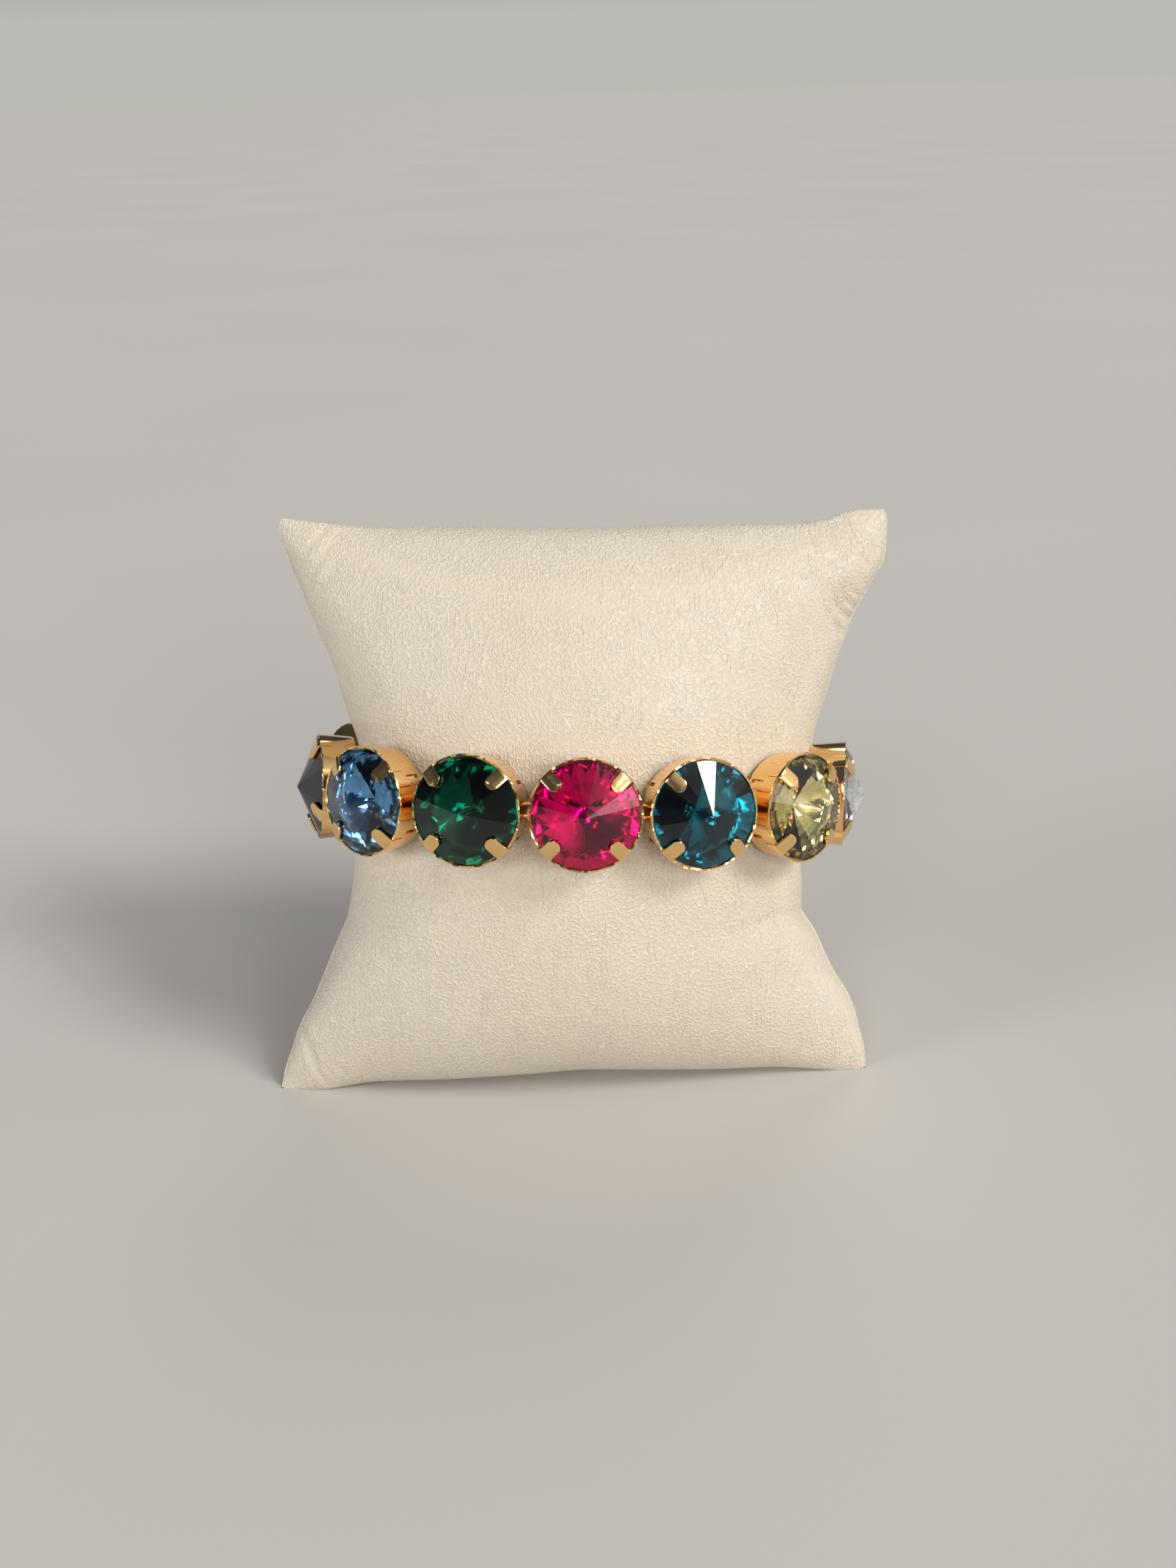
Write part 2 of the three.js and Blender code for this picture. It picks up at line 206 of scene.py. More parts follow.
def weld(mesh, reach, thinnest=None):
    """Joins places closer than reach, drops faces thinner than thinnest, and turns the faces outward."""
    work = bmesh.new()
    work.from_mesh(mesh)
    bmesh.ops.remove_doubles(work, verts=work.verts, dist=reach)
    if thinnest:
        bmesh.ops.dissolve_degenerate(work, edges=work.edges, dist=thinnest)
    bmesh.ops.recalc_face_normals(work, faces=work.faces)
    work.to_mesh(mesh)
    work.free()


# ---- Where things are, read from the solids ----


def places_of(name):
    """A solid's own vertices in millimetres, each one once."""
    mesh = nodes[name].data
    places = np.zeros(len(mesh.vertices) * 3)
    mesh.vertices.foreach_get("co", places)
    return np.unique(np.round(places.reshape(-1, 3) / MM, 4), axis=0)


def unit(vector):
    return vector / np.linalg.norm(vector)


def stone_axis(index):
    """The point behind a stone and the way that it faces."""
    stone = places_of(f"stone_{index:02d}")
    cup = places_of(f"cup_{index:02d}").mean(0)
    middle = (stone.min(0) + stone.max(0)) / 2
    ends = stone[np.argsort(np.linalg.norm(stone - middle, axis=1))[:2]]
    culet, tip = sorted(ends, key=lambda end: np.linalg.norm(end - cup))
    return culet, unit(tip - culet)


def read_cups():
    """The way up the loop, and each cup's frame: along the loop, up and outward, from its back's middle."""
    culet_height = STONE["girdle_top"] - STONE["girdle"] - STONE["pavilion"]
    stones = [stone_axis(index) for index in range(1, CUPS + 1)]
    origins = np.array([culet - outward * culet_height for culet, outward in stones])
    up = np.linalg.svd(origins - origins.mean(0))[2][2]
    up *= np.sign(up[2])
    return up, [
        (np.array([unit(np.cross(up, outward)), up, outward]), origin)
        for (culet, outward), origin in zip(stones, origins)
    ]


def spun(matrix, degrees):
    """A frame turned on its own outward axis."""
    (along, up, outward), origin = matrix
    cos, sin = math.cos(math.radians(degrees)), math.sin(math.radians(degrees))
    return np.array([along * cos + up * sin, up * cos - along * sin, outward]), origin


UP, level_cups = read_cups()
cups = [spun(matrix, SPUN_CUPS.get(index, 0)) for index, matrix in enumerate(level_cups)]
middle_axes, middle_origin = cups[MIDDLE_CUP]
loop_axes = np.array([middle_axes[0], -middle_axes[2], UP])
loop_origin = middle_origin - middle_axes[2] * FRONT_DEPTH

# ---- Materials ----


def new_material(name, **inputs):
    """A Principled material with these values, and its node tree."""
    material = bpy.data.materials.new(name)
    material.use_nodes = True
    shader = material.node_tree.nodes["Principled BSDF"]
    for socket, value in inputs.items():
        shader.inputs[socket.replace("_", " ")].default_value = value
    return material, material.node_tree, shader


def add(tree, kind, inputs=None, **settings):
    """A node with these settings, and its inputs linked to sockets or set to values."""
    node = tree.nodes.new(kind)
    for name, value in settings.items():
        setattr(node, name, value)
    for name, value in (inputs or {}).items():
        socket = node.inputs[name]
        if isinstance(value, bpy.types.NodeSocket):
            tree.links.new(value, socket)
        else:
            socket.default_value = value
    return node


def ramp(tree, source, stops):
    """A colour ramp over source, with (position, colour) stops."""
    node = add(tree, "ShaderNodeValToRGB", {"Fac": source})
    elements = node.color_ramp.elements
    while len(elements) < len(stops):
        elements.new(0.5)
    for element, (position, colour) in zip(elements, stops):
        element.position = position
        element.color = (colour, colour, colour, 1) if np.isscalar(colour) else (*colour, 1)
    return node.outputs["Color"]


def object_place(tree):
    return add(tree, "ShaderNodeTexCoord").outputs["Object"]


def noise(tree, place, scale, detail):
    """A cloudy value round 0.5, with this many clouds a metre."""
    return add(tree, "ShaderNodeTexNoise", {"Vector": place, "Scale": scale, "Detail": detail}).outputs["Fac"]


def between(tree, value, low, high, start=0.0, end=1.0):
    """The value stretched, so that start becomes low and end becomes high."""
    limits = {"From Min": start, "From Max": end, "To Min": low, "To Max": high}
    return add(tree, "ShaderNodeMapRange", {"Value": value, **limits}).outputs["Result"]


def calculate(tree, operation, *values):
    return add(tree, "ShaderNodeMath", dict(enumerate(values)), operation=operation).outputs["Value"]


def bump(tree, height, strength, distance, **below):
    inputs = {"Height": height, "Strength": strength, "Distance": distance, **below}
    return add(tree, "ShaderNodeBump", inputs).outputs["Normal"]


def dress(tree, shader, **outputs):
    """Links these outputs to the shader's inputs of the same names."""
    for name, output in outputs.items():
        tree.links.new(output, shader.inputs[name.replace("_", " ")])


def gold_material():
    """Polished gold plate: faint waves and hairlines in the polish, a little duller in places."""
    material, tree, shader = new_material("gold", Metallic=1.0)
    place = object_place(tree)
    waves, hairlines = noise(tree, place, 260, 2), noise(tree, place, 2600, 3)
    tone = ramp(tree, waves, [(0.3, (0.94, 0.59, 0.245)), (0.7, (0.98, 0.655, 0.295))])
    low = bump(tree, waves, 0.25, 0.00012)
    fine = bump(tree, hairlines, 0.15, 0.00001, Normal=low)
    dress(tree, shader, Base_Color=tone, Roughness=between(tree, hairlines, 0.07, 0.17), Normal=fine)
    return material


def crystal_material(name, tint):
    """Clear or coloured crystal. Faint wear lies on the facets."""
    material, tree, shader = new_material(
        f"crystal_{name}", Transmission_Weight=1.0, IOR=1.56, Base_Color=(*tint, 1)
    )
    wear = noise(tree, object_place(tree), 900, 4)
    dress(tree, shader, Roughness=between(tree, wear, 0.0, 0.03))
    return material


def foil_material(name, tint):
    """The mirror foil behind a crystal, seen through it."""
    material, tree, shader = new_material(f"foil_{name}", Metallic=1.0)
    mottle = noise(tree, object_place(tree), 700, 3)
    dark = tuple(channel * 0.72 for channel in tint)
    tone = ramp(tree, mottle, [(0.35, dark), (0.6, tint)])
    dull = between(tree, mottle, 0.02, 0.12)
    dress(tree, shader, Base_Color=tone, Roughness=dull, Normal=bump(tree, mottle, 0.08, 0.00005))
    return material


# Each crystal's colours: its glass and the foil behind it.
CRYSTALS = {
    "clear": ((0.97, 0.98, 1.0), (0.90, 0.91, 0.94)),
    "yellow": ((1.0, 0.90, 0.45), (1.0, 0.95, 0.78)),
    "teal": ((0.0, 0.16, 0.22), (0.5, 1.0, 1.0)),
    "ruby": ((0.92, 0.0, 0.165), (1.0, 0.48, 0.80)),
    "green": ((0.0, 0.065, 0.04), (0.52, 0.95, 0.82)),
    "blue": ((0.20, 0.43, 0.80), (0.90, 1.0, 1.0)),
    "navy": ((0.008, 0.010, 0.045), (0.45, 0.45, 0.75)),
}

# The leatherette's grain. Scales are in cells or clouds a metre, the spacing of the long lines is in
# metres, and the widths are shares of a cell or of that spacing.
GRAIN = {
    "cells": 1700, "stretch": 0.75, "cell_line": 0.175, "spacing": 0.0012, "long_line": 0.085,
    "winding": 280, "turns": 4.0, "breaks": 640, "patches": 240, "pores": 5200, "stains": 45,
}


def leatherette_material():
    """Cream leatherette: fine raised lines round small cells, longer ones up the height, and pores, with a
    painted highlight along the raised lines.
    """
    material, tree, shader = new_material(
        "leatherette", Specular_IOR_Level=0.40, Sheen_Weight=0.05, Sheen_Roughness=0.5
    )
    place = object_place(tree)

    def vectors(operation, inputs):
        return add(tree, "ShaderNodeVectorMath", inputs, operation=operation).outputs["Vector"]

    def bent(vector, scale, reach):
        """The vector pushed about by a noise of this scale, by up to about half this reach."""
        bend = add(tree, "ShaderNodeTexNoise", {"Vector": place, "Scale": scale, "Detail": 1})
        way = vectors("SUBTRACT", {0: bend.outputs["Color"], 1: (0.5, 0.5, 0.5)})
        return vectors("ADD", {0: vector, 1: vectors("SCALE", {0: way, "Scale": reach})})

    wavy = bent(bent(place, 60, 0.004), 1500, 0.0006)
    axes = add(tree, "ShaderNodeSeparateXYZ", {"Vector": wavy}).outputs
    normal = add(tree, "ShaderNodeNewGeometry").outputs["Normal"]
    facing = add(tree, "ShaderNodeSeparateXYZ", {"Vector": normal}).outputs

    def ridge(distance, width):
        return ramp(tree, distance, [(0.0, 1.0), (width * 0.5, 0.85), (width, 0.15), (1.6 * width, 0.0)])

    def cells(across, along):
        """Raised lines round flat cells that are a little taller than wide."""
        drawn = calculate(tree, "MULTIPLY", axes[along], GRAIN["stretch"])
        flat = add(tree, "ShaderNodeCombineXYZ", {"X": axes[across], "Y": drawn}).outputs["Vector"]
        edges = add(
            tree, "ShaderNodeTexVoronoi", {"Vector": flat, "Scale": GRAIN["cells"], "Randomness": 1.0},
            voronoi_dimensions="2D", feature="DISTANCE_TO_EDGE",
        )
        return ridge(edges.outputs["Distance"], GRAIN["cell_line"])

    drawn_out = add(tree, "ShaderNodeMapping", {"Vector": place, "Scale": (1.0, 1.0, 0.45)}).outputs["Vector"]
    turn = calculate(tree, "MULTIPLY", noise(tree, drawn_out, GRAIN["winding"], 1), GRAIN["turns"])
    kept = ramp(tree, noise(tree, drawn_out, GRAIN["breaks"], 1), [(0.46, 0.0), (0.56, 0.9)])

    def long_lines(across):
        """Raised wavy lines that run up the skin and break off here and there."""
        phase = calculate(tree, "MULTIPLY_ADD", axes[across], 1 / GRAIN["spacing"], turn)
        near = calculate(tree, "PINGPONG", phase, 0.5)
        return calculate(tree, "MULTIPLY", ridge(near, GRAIN["long_line"]), kept)

    share = between(tree, noise(tree, place, GRAIN["patches"], 2), 0.50, 0.78, 0.35, 0.65)

    def net(across, along):
        """Both kinds of line, on skin that faces across these two axes."""
        faded = calculate(tree, "MULTIPLY", cells(across, along), share)
        return calculate(tree, "MAXIMUM", faded, long_lines(across))

    def over(grain, axis, other):
        """The grain, and the other one where the skin faces along this axis."""
        faces = between(tree, calculate(tree, "ABSOLUTE", facing[axis]), 0.0, 1.0, 0.62, 0.78)
        return add(tree, "ShaderNodeMix", {"Factor": faces, "A": grain, "B": other}).outputs["Result"]

    grain = over(over(net("X", "Z"), "X", net("Y", "Z")), "Z", net("X", "Y"))
    pores, stains = noise(tree, place, GRAIN["pores"], 3), noise(tree, place, GRAIN["stains"], 3)
    tone = ramp(tree, stains, [(0.3, (0.712, 0.638, 0.524)), (0.7, (0.732, 0.662, 0.552))])
    # Painted highlight: the raised lines are coloured lighter than the cells between them, in place of the
    # light that catches them.
    painted_ridge_highlight = ramp(tree, grain, [(0.0, (0.895, 0.882, 0.86)), (0.3, (0.94, 0.932, 0.918)), (0.7, (1, 1, 1))])
    tone_and_painted_highlight = add(
        tree, "ShaderNodeMix", {"Factor": 1.0, "A": tone, "B": painted_ridge_highlight}, data_type="RGBA", blend_type="MULTIPLY"
    )
    low = bump(tree, grain, 1.0, 0.00013)
    fine = bump(tree, pores, 0.2, 0.00002, Normal=low)
    dull = between(tree, stains, 0.36, 0.50)
    dress(tree, shader, Base_Color=tone_and_painted_highlight.outputs["Result"], Roughness=dull, Normal=fine)
    return material


GOLD = gold_material()
LEATHERETTE = leatherette_material()
CRYSTAL_MATERIALS = {
    name: [crystal_material(name, glass), foil_material(name, foil)]
    for name, (glass, foil) in CRYSTALS.items()
}


def take(made, slot, *replaced):
    """The piece rides on the object's one body and stands for these solids. Slot is not used."""
    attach(made, "root")
    if replaced:
        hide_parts(*replaced)


# ---- Cups ----


def cup_shell():
    """The pressed cup: a rounded back, a wall that widens a little, and a milled rim."""
    depth, rim = CUP["depth"], CUP["rim"]
    widening = (rim - CUP["back"]) / depth

    def wall(height):
        return CUP["back"] + widening * height, height

    profile = rounded([(0, 0), (CUP["back"], 0), wall(2)], [0, CUP_BACK_ROUND, 0], 5)[:-1]
    profile += [wall(height) for height in (1.5, 2.5, 3.5, depth - RIM["band"])]
    profile += [
        (rim - RIM["lip"], depth - RIM["drop"]),
        (rim - RIM["inset"], depth),
        (SEAT["radius"] + RIM["inset"], depth),
        (SEAT["radius"], depth - RIM["drop"]),
        (SEAT["radius"], SEAT["height"]),
        (CUP["inner_seat"], SEAT["height"]),
        (CUP["inner_back"], CUP["floor"]),
        (0, CUP["floor"]),
    ]
    vertices, faces = lathe(profile, CUP_SEGMENTS)
    radius = np.linalg.norm(vertices[:, :2], axis=1)
    on_rim = (vertices[:, 2] > depth - 0.1) & (radius > SEAT["radius"] - 0.01)
    milling = np.clip(rng.normal(size=(len(vertices), 2)) * on_rim[:, None], -1.5, 1.5)
    vertices[:, 2] += milling[:, 0] * RIM["milled_up"]
    vertices[:, :2] *= 1 + milling[:, 1:] * RIM["milled_out"]
    return vertices, faces


def prong_path():
    """The middle line of a prong as (radius, height), up the wall and in over the crown."""
    slope = math.atan2(STONE["crown"], STONE["radius"])
    lift = (PRONG["clearance"] + PRONG["thickness"] / 2) / math.cos(slope)
    outer = CUP["rim"] - PRONG["thickness"] / 2 + PRONG["proud"]
    tip = CUP["rim"] - PRONG["reach"]

    def height(radius):
        return STONE["girdle_top"] + lift + (STONE["radius"] - radius) * math.tan(slope)

    foot = (outer - PRONG["lean"], CUP["depth"] - PRONG["root"])
    path = rounded([foot, (outer, height(outer)), (tip, height(tip))], [0, PRONG["bend"], 0], 7)
    fine = [path[0]]
    for point in path[1:]:
        count = max(1, int(np.linalg.norm(point - fine[-1]) / PRONG["step"]))
        start = fine[-1]
        fine += [start + (point - start) * (step + 1) / count for step in range(count)]
    return np.array(fine)


def prong():
    """A flat tab with soft edges and a round tip, on the +X side."""
    path = prong_path()
    lengths = np.concatenate([[0], np.cumsum(np.linalg.norm(np.diff(path, axis=0), axis=1))])
    half_width, half_thick, edge = PRONG["width"] / 2, PRONG["thickness"] / 2, PRONG["edge"]
    tip_start = lengths[-1] - half_width
    ways = np.gradient(path, axis=0)
    ways /= np.linalg.norm(ways, axis=1)[:, None]
    stations = [
        (point, way, half_width) for point, way, length in zip(path, ways, lengths) if length <= tip_start
    ]
    base, way = path[-1] - ways[-1] * half_width, ways[-1]
    for angle in np.linspace(0, np.pi / 2, PRONG_TIP_RINGS)[1:]:
        width = max(half_width * math.cos(angle), PRONG["tip_width"])
        stations.append((base + way * half_width * math.sin(angle) * PRONG["tip_share"], way, width))
    rings = []
    for point, way, width in stations:
        side = np.array([way[1], -way[0]])
        soft = min(edge, width * 0.5)
        corner = [
            (-width, -half_thick + edge), (-width + soft * 0.3, -half_thick + edge * 0.3),
            (-width + soft, -half_thick),
        ]
        below = corner + [(0, -half_thick)] + [(-across, depth) for across, depth in reversed(corner)]
        outline = below + [(-across, -depth) for across, depth in below]
        rings.append(np.array([
            (point[0] + side[0] * depth, across, point[1] + side[1] * depth) for across, depth in outline
        ]))
    return loft(rings)


def box_part(low, high):
    """A plain box, used only to cut with."""
    sides = list(zip(low, high))
    corners = np.array([[x, y, z] for z in sides[2] for y in sides[1] for x in sides[0]])
    faces = [(0, 2, 3, 1), (4, 5, 7, 6), (0, 1, 5, 4), (2, 6, 7, 3), (0, 4, 6, 2), (1, 3, 7, 5)]
    return corners, faces


def slots():
    """Cutters for the four narrow slots beside the links."""
    half, angle = SLOT["height"] / 2, SLOT["angle"]
    cutter = box_part(
        (CUP["back"] - SLOT["deep"], -half, SLOT["low"]), (CUP["rim"] + SLOT["out"], half, SLOT["high"])
    )
    return joined(*(turned(cutter, way) for way in (angle, -angle, 180 - angle, 180 + angle)))


# ---- Wires ----


def wire_loop(bend, straight, wire, around=16, steps=20):
    """A closed loop of round wire in the XY plane: two half turns, with straight runs along X if any."""
    if straight:
        right = np.linspace(-np.pi / 2, np.pi / 2, steps)
        angles = np.concatenate([right, np.linspace(np.pi / 2, 1.5 * np.pi, steps)])
        shifts = np.repeat([straight / 2, -straight / 2], steps)
    else:
        angles = np.arange(2 * steps) * np.pi / steps
        shifts = np.zeros(2 * steps)
    spin = np.arange(around) * 2 * np.pi / around
    out_part, up_part = np.cos(spin)[:, None], np.sin(spin)[:, None] * np.array([0, 0, 1])
    rings = []
    for angle, shift in zip(angles, shifts):
        out = np.array([math.cos(angle), math.sin(angle), 0])
        rings.append(out * bend + np.array([shift, 0, 0]) + wire * (out_part * out + up_part))
    last = (len(rings) - 1) * around
    faces = ring_faces(len(rings), around)
    faces += [(last + step, last + (step + 1) % around, (step + 1) % around, step) for step in range(around)]
    return np.vstack(rings), faces


def link_frame(name):
    """A link's frame, with X along it, and the length of its straight runs."""
    places = places_of(name)
    middle = places.mean(0)
    spread = places - middle
    long_way = np.linalg.svd(spread)[2][0]
    along = unit(long_way - UP * (long_way @ UP))
    straight = 2 * ((spread @ along).max() - LINK_BEND - WIRE)
    return (np.array([along, UP, np.cross(along, UP)]), middle), straight


LINK_NAMES = ["end_link_right"] + [f"link_{index:02d}" for index in range(1, CUPS)] + ["end_link_left"]
links = {name: link_frame(name) for name in LINK_NAMES}


def wire_cutter(name):
    """What a link's wire needs cut out of the cups that it passes through."""
    matrix, straight = links[name]
    return moved(wire_loop(LINK_BEND, straight, OPENING, 12, 12), matrix)


def build_cup(index):
    """One cup, with its prongs joined on and its slots and the links' openings cut out."""
    cup = piece(f"gold_cup_{index + 1:02d}", *moved(cup_shell(), cups[index]), [GOLD])
    lost = LOST_PRONG["angle"] if index == LOST_PRONG["cup"] else None
    tabs = joined(*(turned(prong(), angle) for angle in PRONG_ANGLES if angle != lost))
    combine(cup, piece("tabs", *moved(tabs, cups[index]), [GOLD]), "UNION")
    combine(cup, piece("slots", *moved(slots(), level_cups[index]), [GOLD]), "DIFFERENCE")
    for name in LINK_NAMES[index : index + 2]:
        combine(cup, piece("opening", *wire_cutter(name), [GOLD]), "DIFFERENCE")
    finish_shading(cup.data, SHARP["cup"])
    take(cup, "gold", f"cup_{index + 1:02d}")


# ---- Stones ----

GLASS, FOIL = 0, 1  # places in a stone's two materials


def stone_part():
    """A crystal with a point and flat facets in front and behind, and each face's material."""
    top, low = STONE["girdle_top"], STONE["girdle_top"] - STONE["girdle"]
    step = 2 * np.pi / STONE["facets"]
    angles = np.arange(STONE_SEGMENTS) * 2 * np.pi / STONE_SEGMENTS

    def from_facet(offset):
        return np.cos((angles - offset + step / 2) % step - step / 2)

    circle = STONE["radius"] * np.stack([np.cos(angles), np.sin(angles)], 1)
    front = np.column_stack([circle, top + STONE["crown"] * (1 - from_facet(0))])
    back = np.column_stack([circle, low - STONE["pavilion"] * (1 - from_facet(step / 2))])
    points = [(0, 0, low - STONE["pavilion"]), (0, 0, top + STONE["crown"])]
    culet, tip = 2 * STONE_SEGMENTS, 2 * STONE_SEGMENTS + 1
    faces, kinds = ring_faces(2, STONE_SEGMENTS), [GLASS] * STONE_SEGMENTS
    for index in range(STONE_SEGMENTS):
        following = (index + 1) % STONE_SEGMENTS
        faces += [(STONE_SEGMENTS + index, STONE_SEGMENTS + following, tip), (following, index, culet)]
        kinds += [GLASS, FOIL]
    return (np.vstack([back, front, points]), faces), kinds


def build_stone(index):
    part, kinds = stone_part()
    colour, name = STONES[index], f"crystal_{index + 1:02d}"
    materials = CRYSTAL_MATERIALS[colour]
    stone = piece(name, *moved(part, cups[index]), materials, SHARP["stone"], face_materials=kinds)
    take(stone, f"crystal_{colour}", f"stone_{index + 1:02d}")


for cup_index in range(CUPS):
    build_cup(cup_index)
    build_stone(cup_index)


def build_wire(name, bend, straight, matrix):
    take(piece(f"wire_{name}", *moved(wire_loop(bend, straight, WIRE), matrix), [GOLD]), "gold", name)


for link_name, (link_matrix, link_straight) in links.items():
    build_wire(link_name, LINK_BEND, link_straight, link_matrix)

# ---- Rings and clasp ----

ring_middles = {side: places_of(f"jump_ring_{side}").mean(0) for side in ("right", "left")}
for ring_side, ring_middle in ring_middles.items():
    build_wire(f"jump_ring_{ring_side}", RING_BEND, 0, (loop_axes, ring_middle))


def arc(middle, radius, start, end, steps):
    """Points on an arc round (middle, 0), from start to end in half turns."""
    angles = np.linspace(start, end, steps) * np.pi
    return [(middle + radius * math.cos(a), radius * math.sin(a)) for a in angles]


def build_clasp():
    """A flat plate with soft edges, an eye for one ring and a long mouth for the other."""
    right, left = ring_middles["right"], ring_middles["left"]
    along = unit(left - right)
    half_gap = np.linalg.norm(right - left) / 2 - RING_BEND
    half, bevel = CLASP["width"] / 2, CLASP["bevel"]
    curve = bpy.data.curves.new("clasp", "CURVE")
    curve.dimensions = "2D"
    curve.fill_mode = "BOTH"
    curve.extrude = (CLASP["thickness"] / 2 - bevel) * MM
    curve.bevel_depth = bevel * MM
    curve.bevel_resolution = 4
    curve.offset = -bevel * MM
    mouth_outer = half_gap + CLASP["eye"] - CLASP["mouth"]
    mouth_inner = -half_gap + CLASP["inset"] + CLASP["mouth"]
    outlines = [
        arc(half_gap + CLASP["inset"] - half, half, -0.5, 0.5, 48)
        + arc(-half_gap, CLASP["inset"], 0.6, 1.4, 32),
        arc(-half_gap, CLASP["eye"], 0, 2, 40)[:-1],
        arc(mouth_outer, CLASP["mouth"], -0.5, 0.5, 24) + arc(mouth_inner, CLASP["mouth"], 0.5, 1.5, 24),
    ]
    for outline in outlines:
        spline = curve.splines.new("POLY")
        spline.points.add(len(outline) - 1)
        for point, (x, y) in zip(spline.points, outline):
            point.co = (x * MM, y * MM, 0, 1)
        spline.use_cyclic_u = True
    holder = bpy.data.objects.new("clasp_outline", curve)
    scene.collection.objects.link(holder)
    mesh = bpy.data.meshes.new_from_object(holder.evaluated_get(bpy.context.evaluated_depsgraph_get()))
    bpy.data.objects.remove(holder)
    mesh.transform(placement(np.array([along, UP, np.cross(along, UP)]), (right + left) / 2))
    weld(mesh, 0.00001)
    mesh.materials.clear()
    mesh.materials.append(GOLD)
    finish_shading(mesh, SHARP["plain"])
    clasp = bpy.data.objects.new("gold_clasp", mesh)
    scene.collection.objects.link(clasp)
    take(clasp, "gold", "clasp")


build_clasp()

# ---- The pillow ----

# Seen from the front, in the loop's frame: (height, half width) up each side, and (across, height)
# along the top and bottom folds, across being from -1 at the left corner to 1 at the right one.
SIDE_RIGHT = [
    (-40.4, 41.2), (-38.7, 41.1), (-32.1, 39.6), (-29.0, 38.3), (-24.7, 35.6), (-19.4, 32.9), (-16.3, 31.1),
    (-13.3, 31.1), (-9.6, 30.7), (-2.0, 30.9), (6.1, 31.6), (14.3, 33.6), (21.6, 35.8), (25.4, 37.0),
    (28.5, 38.6), (33.7, 41.0), (37.7, 41.2), (39.6, 40.6),
]
SIDE_LEFT = [
    (-44.4, 42.4), (-42.7, 42.1), (-36.4, 40.4), (-29.8, 37.4), (-23.0, 34.6), (-17.3, 32.6), (-10.0, 31.7),
    (-2.0, 31.2), (5.8, 31.4), (11.1, 33.0), (15.8, 34.5), (20.9, 36.4), (25.6, 38.4), (30.8, 40.5),
    (35.2, 42.0), (36.9, 41.8),
]
TOP = [
    (-1.0, 36.9), (-0.68, 36.0), (-0.43, 36.2), (0.0, 36.4), (0.38, 37.1), (0.68, 37.4), (0.78, 37.9),
    (0.91, 39.4), (1.0, 39.6),
]
BOTTOM = [
    (-1.0, -44.4), (-0.86, -43.9), (-0.68, -42.5), (-0.44, -41.9), (-0.16, -40.8), (0.05, -40.0),
    (0.44, -40.0), (0.68, -39.7), (0.89, -40.2), (1.0, -40.4),
]
PILLOW = {
    "half_depth": 18.85, "front_power": 1.913, "back_power": 3.2, "corner_power": 1.55,
    "puff_power": 2.6, "seat_power": 8, "seat_drop": 8.5, "crowding": 0.28,
}
PILLOW_AROUND = 320
PILLOW_STACKS = 220


def smooth_curve(points):
    """A smooth function through (place, value) points, with no overshoot where they level out."""
    xs, ys = np.array(points, float).T
    gaps = np.diff(xs)
    slopes = np.diff(ys) / gaps
    tangents = np.zeros(len(xs))
    tangents[0], tangents[-1] = slopes[0], slopes[-1]
    for index in range(1, len(xs) - 1):
        before, after = slopes[index - 1], slopes[index]
        if before * after > 0:
            tangents[index] = 2 * before * after / (before + after)

    def value(at):
        at = np.clip(at, xs[0], xs[-1])
        index = np.clip(np.searchsorted(xs, at) - 1, 0, len(gaps) - 1)
        gap = gaps[index]
        t = (at - xs[index]) / gap
        return (
            ys[index] * (1 + 2 * t) * (1 - t) ** 2
            + gap * tangents[index] * t * (1 - t) ** 2
            + ys[index + 1] * t * t * (3 - 2 * t)
            + gap * tangents[index + 1] * t * t * (t - 1)
        )

    return value


side_right, side_left = smooth_curve(SIDE_RIGHT), smooth_curve(SIDE_LEFT)
top_fold, bottom_fold = smooth_curve(TOP), smooth_curve(BOTTOM)


def lerp(a, b, t):
    return a + (b - a) * t


def pillow_skin():
    """Places on the skin as an array of stacks by steps around, from the right-hand seam over the back."""
    turn = np.arange(PILLOW_AROUND) * 2 * np.pi / PILLOW_AROUND
    angle = (turn - PILLOW["crowding"] * np.sin(2 * turn))[None, :]
    level = -np.cos(np.pi * np.arange(PILLOW_STACKS + 1) / PILLOW_STACKS)[:, None]
    height = (level + 1) / 2
    is_back = np.sin(angle) > 1e-9
    waist = np.where(is_back, PILLOW["back_power"], PILLOW["front_power"])
    power = lerp(waist, PILLOW["corner_power"], level**2)
    across = np.sign(np.cos(angle)) * np.abs(np.cos(angle)) ** (2 / power)
    through = np.sign(np.sin(angle)) * np.abs(np.sin(angle)) ** (2 / power)
    seat = is_back & (level < 0)
    puff_power = np.where(seat, PILLOW["seat_power"], PILLOW["puff_power"])
    puff = np.sqrt(np.maximum(1 - np.abs(level) ** puff_power, 0))
    drop = np.where(seat, PILLOW["seat_drop"] * through * puff * level**2, 0)
    right_height = lerp(SIDE_RIGHT[0][0], SIDE_RIGHT[-1][0], height)
    left_height = lerp(SIDE_LEFT[0][0], SIDE_LEFT[-1][0], height)
    side = np.where(across > 0, side_right(right_height), side_left(left_height))
    rise = lerp(bottom_fold(across), top_fold(across), height) - drop
    return np.stack([across * side, PILLOW["half_depth"] * through * puff, rise], -1)


